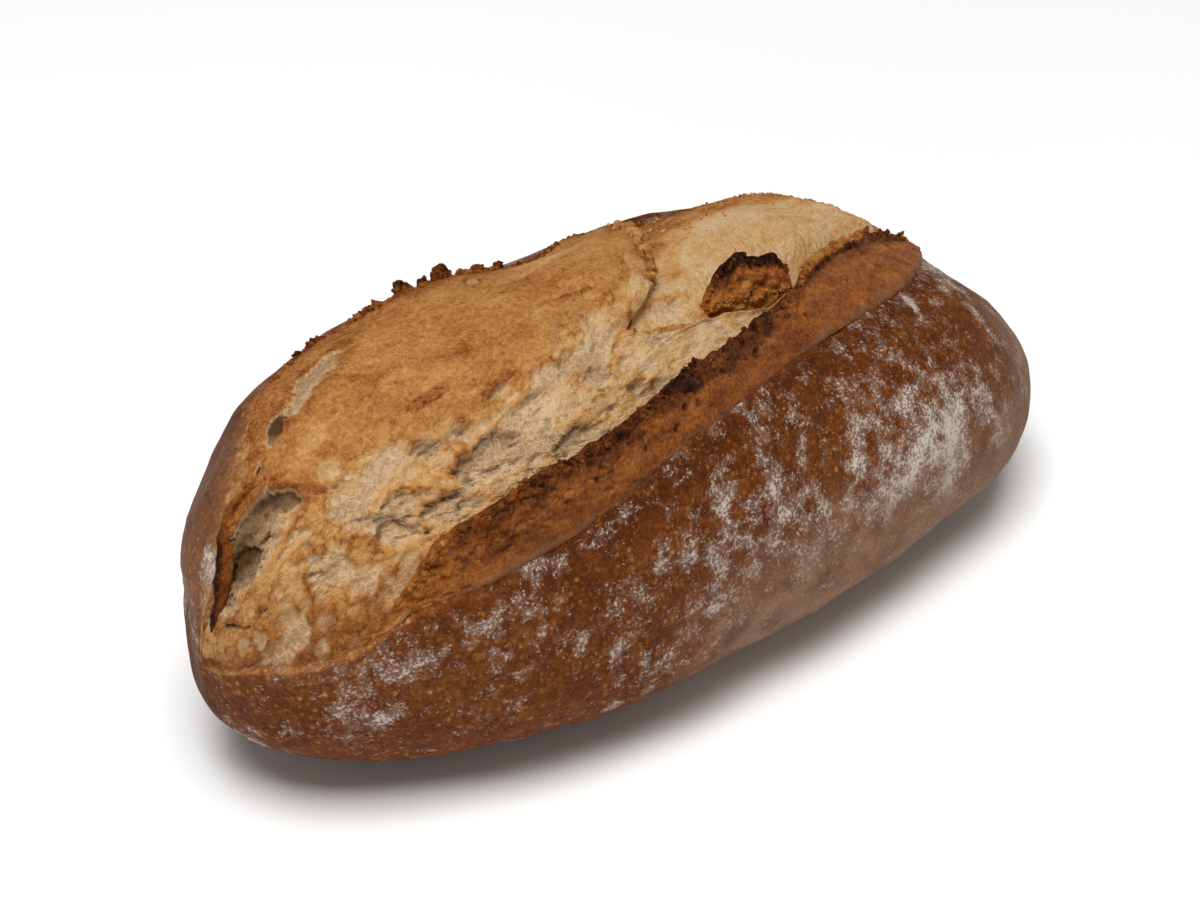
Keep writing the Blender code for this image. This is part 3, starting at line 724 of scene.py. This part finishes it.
def stuck_crumbs(name, surface, weight, count, reach, mark, tone, material, seed):
    """Small torn crumbs that stick to a surface, as one piece.

    Each is a ball with a random radius between the two of reach, stretched at random along
    each axis and made rough by hills of its own size.  Its middle is a point of the surface,
    chosen in proportion to weight.  Tone is the mark at each point of the surface.
    """
    random = np.random.default_rng(seed)
    chance = (weight / weight.sum()).ravel()
    chosen = random.choice(chance.size, count, p=chance)
    radius = reach[0] + (reach[1] - reach[0]) * random.random(count) ** 2
    stretch = radius[:, None] * (0.65 + 0.7 * random.random((count, 3)))
    rise = np.radians(np.linspace(-78, 78, 8))[:, None]
    turn = np.linspace(0, 2 * np.pi, 12, endpoint=False)
    ball = np.stack([np.cos(rise) * np.cos(turn), np.cos(rise) * np.sin(turn),
                     np.sin(rise) + 0 * turn], -1)
    own = random.random((count, 1, 1, 3)) * 90
    uneven = 1 + 0.6 * clouds(ball + own, 0.9, seed, 3)
    middle = surface.reshape(-1, 3)[chosen]
    rings = middle[:, None, None] + ball * uneven[..., None] * stretch[:, None, None]
    value = np.broadcast_to(tone, weight.shape).ravel()[chosen]
    value = value[:, None, None] + 0.20 * (uneven - 1) + 0.08 * random.normal(size=(count, 1, 1))
    closed_skin(name, rings, {mark: value}, material)


crumb = torn_crumb()

# The left pillow ends on the step line, frayed by hills of 3.4 mm.  There it rolls down onto
# the right one: steeply on the long line, and with a thin brown lip near the ear.
rows = crumb_rows(12, 154, 36)
edge_x = np.interp(rows[1][None, :], *np.array(STEP_LINE).T)
edge_x += 1.9 * clouds(spots(rows[1][None, :] * 85, 0.0), 3.4, 101, 4)
station = even_stations(-87.0, np.degrees(np.arcsin(edge_x / (LENGTH / 2))), 450)
share = placed_share(station, rows)
from_edge = edge_x - x_at(station)
rolled = -(4.5 + 3.0 * soft_step((share - 0.35) / 0.15)) * soft_step(1 - from_edge / 2.6) ** 1.5
thin = -0.8 * soft_step(1 - from_edge / 16) * soft_step(1 - np.abs(share - 0.15) / 0.15)
lipped = 1.1 * hump(from_edge - 3.0, 1.8) * soft_step((0.30 - share) / 0.04)
upper_edge = hump(from_edge, 5.0) * soft_step((share - 0.30) / 0.1)
lower_edge = hump(from_edge, 3.0) * soft_step((0.31 - share) / 0.02)
top = crumb_skin("crumb_left", station, share, rolled + thin + lipped,
                 0.26 * upper_edge + 0.24 * lower_edge, 1.0, 0.0)
torn_edge = hump(from_edge - 1.5, 1.6) * soft_step((share - 0.34) / 0.06)
stuck_crumbs("step_crumbs", top, torn_edge * soft_step((0.75 - share) / 0.2), 260, (0.4, 1.5),
             "toast", 0.62, crumb, 211)

# The right pillow sinks below the left one towards the step, and is browned in patches of 14
# and 3.5 mm, more so on its top.
rows = crumb_rows(14, 214, 15)
station = even_stations(-11.0, 67.0 + 0 * rows[0], 370)
share = placed_share(station, rows)
x = x_at(station)
past_step = x - np.interp(share, *np.array(STEP_LINE).T)
below = (-4.4 * soft_step(1 - past_step / 60)
         - 2.4 * soft_step(1 - past_step / 20) * soft_step((share - 0.30) / 0.15))
spot = spots(x, share * 90)
browned = (0.05 + 0.08 * soft_step((share - 0.35) / 0.45)
           + 0.14 * clouds(spot, 14.0, 103, 3) * soft_step((share - 0.15) / 0.3)
           + 0.10 * clouds(spot * (0.5, 1.0), 3.5, 105, 3))
browned = np.minimum(browned, 0.10 + 0.3 * browned)
top = crumb_skin("crumb_right", station, share, below, browned, 0.25, 1.0)
skyline = soft_step((share - 0.35) / 0.2) * soft_step((66 - station) / 6)
skyline *= soft_step((x - 20) / 15)
stuck_crumbs("pillow_crumbs", top, skyline, 220, (0.3, 0.7), "toast", 0.62, crumb, 221)

# --------------------------------------------------------------------------------- ear
# The ear is the flap of crust that the cut lifted: brown and smooth low on its outer face,
# spongy above, and burnt along its torn upper edge.  It grew out of the crust at its foot.
EAR_LIFT = ((-90, 0.0), (-66, 0.3), (-45, 1.2), (-20, 2.0), (10, 2.4), (34, 2.4),
            (46, 1.0), (57, -0.8), (67, -0.8), (90, 0.0))
EAR_TOP = ((-90, 5), (-56, 16), (-50, 24), (-44, 33), (-40, 39), (-28, 45), (-17, 50),
           (-6, 56), (5, 61), (16, 67), (25, 76), (34, 81.5), (42, 84.5), (50, 86.5),
           (57, 88.5), (66, 92), (90, 92))
EAR_RINGS, EAR_FRONT_ROWS = 880, 66
EAR_BACK = ((0.3, -0.4), (0.5, -1.2), (0.3, -2.4), (-0.2, -4.0), (-0.8, -6.0), (-1.2, -8.0))
PORES = ((7, 0.55, 1.5), (-4, 0.48, 1.1), (-6, 0.55, 1.0), (-8, 0.34, 1.2), (-13, 0.42, 0.8),
         (1, 0.66, 0.8), (17, 0.5, 0.7), (-20, 0.5, 0.9), (28, 0.45, 0.6))
MM_PER_DEGREE = 1.25       # round the loaf at its shoulder


def ear_skin():
    """Burst and baked crust: a thin matt skin, brown and finely speckled, drawn out along the
    loaf, going to near black where it burnt and to gold where it stayed sheltered, with a
    film of flour where it was dusted."""
    material, tree, skin, place = blank("ear_skin")
    char, haze = (add(tree, "Attribute", {}, attribute_name=name, out="Fac")
                  for name in ("char", "haze"))
    drawn = add(tree, "Mapping", {"Vector": place, "Scale": (0.35, 1.0, 1.0)})
    speckle, broad = (
        add(tree, "TexNoise", {"Vector": at, "Scale": 1 / (size * MM), "Detail": 5.0,
                               "Roughness": rough})
        for at, size, rough in ((place, 1.0, 0.75), (drawn, 5.0, 0.65)))
    fleck, patch = (
        add(tree, "MapRange", {"Value": noise, "From Min": 0.3, "From Max": 0.7,
                               "To Min": -weight, "To Max": weight}, clamp=False)
        for noise, weight in ((speckle, 0.20), (broad, 0.14)))
    both = add(tree, "Math", {0: fleck, 1: patch}, operation="ADD")
    amount = add(tree, "Math", {0: char, 1: both}, operation="ADD")
    colour = add(tree, "ValToRGB", {0: amount}, stops=(
        (0.0, "#cd9550"), (0.18, "#c07c38"), (0.34, "#aa632a"), (0.50, "#8a4c20"),
        (0.66, "#6c3812"), (0.82, "#48220f"), (1.0, "#1c0d08")))
    dusted = add(tree, "Mix", {0: haze, 6: colour, 7: linear("#8f6f5c")},
                 data_type="RGBA", out=2)
    rough = add(tree, "Bump", {"Height": speckle, "Distance": 1.2 * MM, "Strength": 1.0})
    feed(tree, skin, {"Base Color": dusted, "Roughness": 0.7, "Specular IOR Level": 0.08,
                      "Normal": rough})
    return material


# q runs up the ear's outer face: 0 at its foot, 1 at its torn edge.  Its height grows from
# the crust by the lift, with a roll half way, a sponge of open bubbles above it, a groove
# near the right end's edge and a ragged edge that is spiky at that end.  char is how burnt.
station = even_stations(-54.0, 67.0, EAR_RINGS)
foot, top = through(EAR_FOOT, station), through(EAR_TOP, station)
x = x_at(station)
q = np.linspace(-0.06, 1, EAR_FRONT_ROWS)
angle = foot + (top - foot) * q
flat, line = spots(x, angle * MM_PER_DEGREE), spots(x, 0.0)
middle = soft_step((station + 25) / 10) * soft_step((16 - station) / 8)
right = soft_step((station - 16) / 12)
spiky = soft_step((station - 38) / 4) * soft_step((64 - station) / 5)
faded = soft_step((-36 - station) / 10)
teeth = clouds(line, 3.4, 111, 4) * (0.45 + 0.55 * soft_step(0.5 + clouds(line, 12.0, 112)))
spikes = np.abs(clouds(line, 2.4, 113, 3)) ** 1.2
rise = through(EAR_LIFT, station) * np.clip(q, 0, 1) ** 0.75
rise -= np.exp(-np.clip(q + 0.06, 0, 2) / 0.04)
roll = 0.5 * hump(q - 0.5, 0.22) * soft_step((top - foot) / 10)
height = rise + roll + 0.35 * clouds(flat, 14.0, 115) + 0.10 * clouds(flat, 2.6, 117, 2)
groove = hump(q - 0.84 + 0.02 * teeth, 0.035) * right * (1 - 0.8 * spiky)
height -= 1.3 * groove
rough_edge = soft_step((q - 0.74) / 0.24)
sponge_start = 0.50 - 0.22 * soft_step((-14 - station) / 12)
spongy = soft_step((q - sponge_start + 0.14 * clouds(flat, 9.0, 118, 2)) / 0.18)
spongy *= 1 - 0.6 * right
frayed = spots(clouds(flat, 2.0, 123, 2), clouds(flat, 2.0, 124, 2)) * 0.5
deep, rims = bubbles(flat + frayed, 2.8, 125, 0.6)
height += spongy * (1.2 * np.abs(clouds(flat, 3.6, 119, 3)) - 0.3 - 0.7 * deep)
height += rough_edge * (0.35 * clouds(flat, 1.5, 120, 2) + 0.35 * teeth)
height += rough_edge ** 2 * spikes * (2.8 * spiky + 0.3 * (1 - faded))
scallops = clouds(line, 8.0, 122, 2)
across = rough_edge ** 2 * (0.9 * scallops + 0.45 * teeth + 0.6 * clouds(flat, 1.6, 121))
across *= 1 - 0.5 * faded
pores = 0 * height
for pore_station, pore_q, radius in PORES:
    away = np.hypot(x - x_at(pore_station), (q - pore_q) * (top - foot) * MM_PER_DEGREE)
    pores = np.maximum(pores, soft_step(1.45 - away / radius))
    height -= radius * soft_step(1.25 - away / radius)
pits = bubbles(flat * (0.6, 1.0), 2.6, 127, 0.35)[0]
pits *= soft_step(0.5 + 1.2 * clouds(flat, 12.0, 128))
height -= 0.45 * pits + 1.2 * faded
front = on_loaf(station, angle, height, across)
back_across, back_height = np.array(EAR_BACK).T
fade = np.linspace(1, 0, len(EAR_BACK))
back = on_loaf(station, top, height[:, -1:] * fade + back_height,
               across[:, -1:] * fade + back_across)
under_q = np.linspace(0.85, 0.0, 6)
under = on_loaf(station, foot + (top - foot) * under_q, -4.0 - 4.0 * under_q)
char = 0.50 + 0.05 * clouds(flat, 12.0, 131, 2)
burnt = soft_step((q - 0.52 + 0.14 * clouds(flat, 7.0, 133, 3)) / 0.25)
char += burnt * (0.20 * middle + 0.12 * (1 - middle) * (1 - faded))
char += burnt * middle * 0.18 * soft_step(clouds(flat, 5.0, 134, 3) * 1.4 - 0.1)
char += (0.08 * clouds(flat, 4.0, 136, 3) + 0.08 * rims - 0.10 * deep) * spongy
char += hump(q + 0.02, 0.07) * 0.06
char += 0.18 * groove + 0.22 * pores + 0.07 * pits - 0.22 * faded
char -= 0.42 * soft_step((q - 0.88) / 0.04) * right * (1 - spiky)
char += 0.10 * rough_edge ** 3 * spiky * (0.6 + clouds(flat, 4.0, 138, 2))
char -= 0.09 * hump(q - 0.60, 0.05) * soft_step((station - 24) / 10)
char -= 0.11 * right * soft_step((0.86 - q) / 0.2)
char += 0.06 * clouds(flat, 2.2, 135, 2) + 0.10 * rough_edge * clouds(flat, 1.5, 137)
haze = 0.42 * hump(q - 0.01, 0.06) * soft_step((station + 50) / 20)
haze += 0.06 * right + 0.05 * (1 - faded)
haze *= 0.8 + 0.5 * clouds(flat, 6.0, 139, 3)
edge = char[:, -1:]
behind = (edge + 0.05, edge, edge - 0.1, 0.45 + 0 * x, 0.4 + 0 * x, 0.4 + 0 * x)
whole_char = np.concatenate([char, *behind, 0.5 + 0 * under_q + 0 * x], axis=1)
whole_haze = np.pad(haze, ((0, 0), (0, len(EAR_BACK) + len(under_q))))
baked_ear = ear_skin()
closed_skin("ear", np.concatenate([front, back, under], axis=1),
            {"char": whole_char, "haze": whole_haze}, baked_ear)
torn_edge = soft_step((q - 0.80) / 0.12) * (1 - 0.6 * faded) * (1 - spiky)
stuck_crumbs("ear_crumbs", front, torn_edge, 420, (0.25, 0.75), "char", char - 0.04,
             baked_ear, 231)
stuck_crumbs("ear_end_crumbs", front, soft_step((q - 0.8) / 0.2) * spiky, 90, (0.25, 0.6),
             "char", char - 0.04, baked_ear, 241)

# ------------------------------------------------------------------------ the hook rim
# At the left end the cut turned down over the tip.  Its edge is a thick fold of crust that
# stands up beside the deep pit: burnt on top, floury outside and torn thin towards the crumb.
HOOK_PATH = (      # station, angle, half width, height
    (-82.5, 38, 0.5, 0.4), (-80, 46, 1.1, 2.0), (-77, 54, 1.3, 2.9), (-73, 67, 1.4, 3.1),
    (-69, 79, 1.2, 2.6), (-65, 83, 0.8, 1.5), (-61.5, 81, 0.6, 0.9), (-59, 76, 0.3, 0.2))
HOOK_RINGS, HOOK_ROWS = 220, 48
HOOK_ROOT = 3.0


def each_through(path, at):
    """A smooth curve through each number of a path's stops, which stand at 0, 1, 2 and on."""
    return [through(tuple(enumerate(column)), at) for column in zip(*path)]


# The cross-section is an oval of the path's half width, with the path's height above the
# smooth loaf and the root below it, its radius made uneven by hills of 2.5 mm.
at = np.linspace(0, len(HOOK_PATH) - 1, HOOK_RINGS)
station, angle, half_width, height = each_through(HOOK_PATH, at)
middle, out = on_loaf(station, angle), directions(station, angle)[0]
tangent = np.gradient(middle, axis=0)
side = np.cross(out, tangent)
side /= np.linalg.norm(side, axis=-1, keepdims=True)
turn = np.linspace(0, 2 * np.pi, HOOK_ROWS, endpoint=False)
walked = np.cumsum(np.linalg.norm(tangent, axis=-1))[:, None]
uneven = 1 + 0.22 * clouds(spots(walked, 3.0 * np.sin(turn)), 2.5, 181, 3)
wide = half_width[:, None] * np.cos(turn) * uneven
high = np.where(np.sin(turn) > 0, height[:, None] * uneven, HOOK_ROOT) * np.sin(turn)
rings = middle[:, None] + side[:, None] * wide[..., None] + out[:, None] * high[..., None]
left_part = soft_step((5.0 - at[:, None]) / 2.0)
outside = soft_step(np.cos(turn) * 1.4)
strip = hump(np.degrees(turn) - 98, 40)
char = 0.44 + 0.46 * left_part * strip + 0.05 * outside
char += 0.08 * clouds(spots(at[:, None] * 8, turn * 2), 2.0, 183, 2)
closed_skin("hook_rim", rings, {"char": char, "haze": 0.45 * outside * left_part}, baked_ear)

# ------------------------------------------------------------------------- the far rim
# The far rim is the other torn edge of the crust, thin and browned, with a fringe of small
# crags where the crumb pulled away from it.  It grew out of the far crust.
CRAGS = ((-36.2, 4.6, 2.4), (-49.2, 2.2, 2.2), (-20.5, 2.4, 2.6), (-60.0, 1.2, 1.6),
         (-28.0, 1.4, 2.0), (-12.0, 1.3, 2.0))       # x, height, half width
RIM_REACH = 4.6            # degrees to either side of its crest
RIM_ROOT = 7.0
RIM_RINGS, RIM_ROWS = 640, 34

# q runs across the rim from -1 to 1.  Its crest swells from the crust to an uneven peak of
# about 2 mm, higher at each crag, and fades out at both ends.
station = even_stations(-56.0, 26.0, RIM_RINGS)
lip = through(FAR_EDGE, station) - 1.0
x = x_at(station)
q = np.linspace(-1, 1, RIM_ROWS)
angle = lip + RIM_REACH * q
flat, line = spots(x, angle * MM_PER_DEGREE), spots(x, 0.0)
ends = soft_step((station + 56) / 10) * soft_step((26 - station) / 16)
swell = hump(q, 0.42)
fringe = clouds(line, 2.6, 141, 3)
crag = sum(tall * soft_step(1.5 - np.abs(x - place + 0.5 * clouds(line, 1.5, 145)) / wide)
           for place, tall, wide in CRAGS)
peak = 2.1 + 0.8 * fringe + 0.4 * np.abs(clouds(line, 1.5, 143, 2)) + 0.55 * crag
height = body_relief(station, angle, smooth_loaf(station, angle)) - 1.6
height += swell * (peak * ends + 0.3 * clouds(flat, 2.2, 147, 2)) - 3 * (1 - ends)
front = on_loaf(station, angle, height, 1.2 * fringe * swell)
under_q = np.linspace(1, -1, 8)
under = on_loaf(station, lip + RIM_REACH * under_q, through(RIM_SAG, station) - RIM_ROOT)
char = 0.47 + 0.10 * clouds(flat, 5.0, 149, 3) + 0.16 * swell * fringe
char += swell ** 2 * (0.04 + 0.05 * crag) + 0.12 * clouds(flat, 1.4, 151)
whole_char = np.concatenate([char, 0.5 + 0 * under_q + 0 * x], axis=1)
closed_skin("far_rim", np.concatenate([front, under], axis=1), {"char": whole_char}, baked_ear)
stuck_crumbs("far_rim_crumbs", front, swell ** 3 * ends * (0.5 + 1.4 * crag), 620, (0.3, 1.0),
             "char", char - 0.04, baked_ear, 251)

# ---------------------------------------------------------------------- the burnt flap
# The burnt flap is a tongue of dough that tore loose behind the ear and stands on the crumb,
# curled back a little.  It grew out of the crumb at its foot and burnt black along its top.
FLAP_FOOT = ((7.0, 73.6), (8.3, 72.0), (10.2, 70.4), (12.5, 69.6), (15.0, 70.0), (17.3, 70.8),
             (19.6, 71.8))                 # station, angle
FLAP_TOP = ((6.8, 74.2, -3.0), (8.4, 76.2, 2.6), (10.4, 77.8, 4.9), (13.4, 78.9, 5.5),
            (16.4, 78.0, 5.3), (18.8, 75.6, 4.8), (20.2, 72.6, -1.5))      # and height
FLAP_ROOT = 7.0
FLAP_BULGE = 2.2
FLAP_THICK = 4.0
FLAP_RINGS, FLAP_ROWS = 150, 90
FLAP_BACK = ((1.03, -0.1), (1.04, 0.15), (1.02, 0.4), (0.96, 0.7), (0.86, 0.9), (0.7, 1.0),
             (0.4, 1.0), (0.1, 0.9))       # how far up, share of its thickness

# at runs along the flap, by the stops of its foot and top, and v up it from 0 to 1.  The face
# bulges outward and is crumpled by creases of 4 mm and open bubbles, with a jagged top edge.
at = np.linspace(0, len(FLAP_TOP) - 1, FLAP_RINGS)[:, None]
v = np.linspace(0, 1, FLAP_ROWS)
foot = on_loaf(*each_through(FLAP_FOOT, at), -FLAP_ROOT)
up = on_loaf(*each_through(FLAP_TOP, at)) - foot
outward = np.cross(up, np.gradient(foot, axis=0))
outward /= np.linalg.norm(outward, axis=-1, keepdims=True)
outward *= np.where(outward[..., 1:2] > 0, -1, 1)
flat = spots(at * 4.4, v * 12.0)
whole = soft_step((3 - np.abs(at - 3)) / 0.8)
deep, rims = bubbles(flat, 2.6, 161, 0.6)
crumpled = 1.6 * np.abs(clouds(flat, 4.0, 163, 3)) + 0.4 * clouds(flat, 1.3, 165) - 0.5 * deep
bulge = (FLAP_BULGE * np.sin(np.pi * v) + crumpled) * whole
jagged = 1.5 * clouds(flat[:, -1:], 1.7, 166, 3) * v ** 3 * (0.3 + 0.7 * whole)
face = foot + up * v[:, None] + outward * bulge[..., None]
face[..., 2] += jagged
back_v, thickness = np.array(FLAP_BACK).T
fade = np.linspace(1, 0, len(FLAP_BACK))
behind = FLAP_THICK * thickness * (0.2 + 0.8 * whole)
back = foot + up * back_v[:, None] + outward * (bulge[:, -1:] * fade - behind)[..., None]
back[..., 2] += jagged[:, -1:] * fade
char = (0.22 + 0.20 * soft_step((v - 0.38) / 0.3)
        + 0.42 * soft_step((v - 0.72 + 0.12 * clouds(flat, 3.0, 167, 3)) / 0.16)
        + 0.14 * clouds(flat, 1.6, 169, 2) + 0.06 * rims - 0.06 * deep)
char = np.concatenate([char, 0.92 - 0.40 * (back_v < 0.8) + 0 * at], axis=1)
top_middle = 0.12 + 0.88 * soft_step((2.6 - np.abs(at - 3.2)) / 1.2)
char = 0.30 + (char - 0.30) * top_middle
closed_skin("burnt_flap", np.concatenate([face, back], axis=1), {"char": char}, baked_ear)
side_edge = soft_step((np.abs(at - 3) - 2.0) / 0.6) * (v > 0.3)
rough = (soft_step((v - 0.80) / 0.15) + 0.8 * soft_step((0.55 - v) / 0.1) * (v > 0.3)) * whole
stuck_crumbs("flap_crumbs", face, rough + 1.2 * side_edge, 640, (0.2, 0.6), "char",
             char[:, :len(v)] - 0.02, baked_ear, 261)

# -------------------------------------------------------------------------- the studio
# A plain pale floor with soft studio light: one wide lamp above and behind the loaf, a low
# one from the left, and an even fill from all round.  The camera stands where the
# photograph was taken.
TURN, RISE, DISTANCE = -38.0, 36.0, 0.7
FOCAL_PIXELS, PHOTO_WIDTH = 2557.354, 1200.0
VIEW_MIDDLE = (6.325, 3.167)       # pixels from the photograph's middle
AIM_HEIGHT = 0.04
HALF_FLOOR = 4.0


def floor_paper():
    """Matt white paper, evenly lit."""
    material, tree, skin = blank("white_paper")[:3]
    feed(tree, skin, {"Base Color": linear("#fcfcfb"), "Roughness": 0.9,
                      "Specular IOR Level": 0.1})
    return material


mesh = bpy.data.meshes.new("floor")
mesh.from_pydata([(x * HALF_FLOOR, y * HALF_FLOOR, 0)
                  for x, y in ((-1, -1), (1, -1), (1, 1), (-1, 1))], [], [(0, 1, 2, 3)])
mesh.materials.append(floor_paper())
floor = bpy.data.objects.new("floor", mesh)
bpy.context.scene.collection.objects.link(floor)

world = bpy.data.worlds.new("studio")
world.use_nodes = True
bpy.context.scene.world = world
feed(world.node_tree, world.node_tree.nodes["Background"],
     {"Color": linear("#ffffff"), "Strength": 0.17})


def lamp(name, place, towards, size, power):
    """A square area lamp of that size in metres, turned towards a point."""
    data = bpy.data.lights.new(name, "AREA")
    data.size, data.energy = size, power
    made = bpy.data.objects.new(name, data)
    made.location = place
    made.rotation_euler = (Vector(towards) - Vector(place)).to_track_quat("-Z", "Y").to_euler()
    bpy.context.scene.collection.objects.link(made)


lamp("key", (-0.42, -0.38, 2.15), (0, 0, 0), 1.25, 53.0)
lamp("front_fill", (-2.2, -1.7, 0.55), (0, 0, 0.04), 1.0, 9.0)

camera_data = bpy.data.cameras.new("camera")
camera_data.sensor_width = 36.0
camera_data.lens = FOCAL_PIXELS / PHOTO_WIDTH * camera_data.sensor_width
camera_data.shift_x = -VIEW_MIDDLE[0] / PHOTO_WIDTH
camera_data.shift_y = -VIEW_MIDDLE[1] / PHOTO_WIDTH
camera_data.clip_end = 20.0
camera = bpy.data.objects.new("camera", camera_data)
turn, rise = np.radians(TURN), np.radians(RISE)
back = Vector((np.sin(turn) * np.cos(rise), -np.cos(turn) * np.cos(rise), np.sin(rise)))
camera.location = Vector(MIDDLE * MM) + Vector((0, 0, AIM_HEIGHT)) + back * DISTANCE
camera.rotation_euler = (-back).to_track_quat("-Z", "Y").to_euler()
bpy.context.scene.collection.objects.link(camera)
bpy.context.scene.camera = camera
bpy.context.scene.view_settings.view_transform = "Standard"
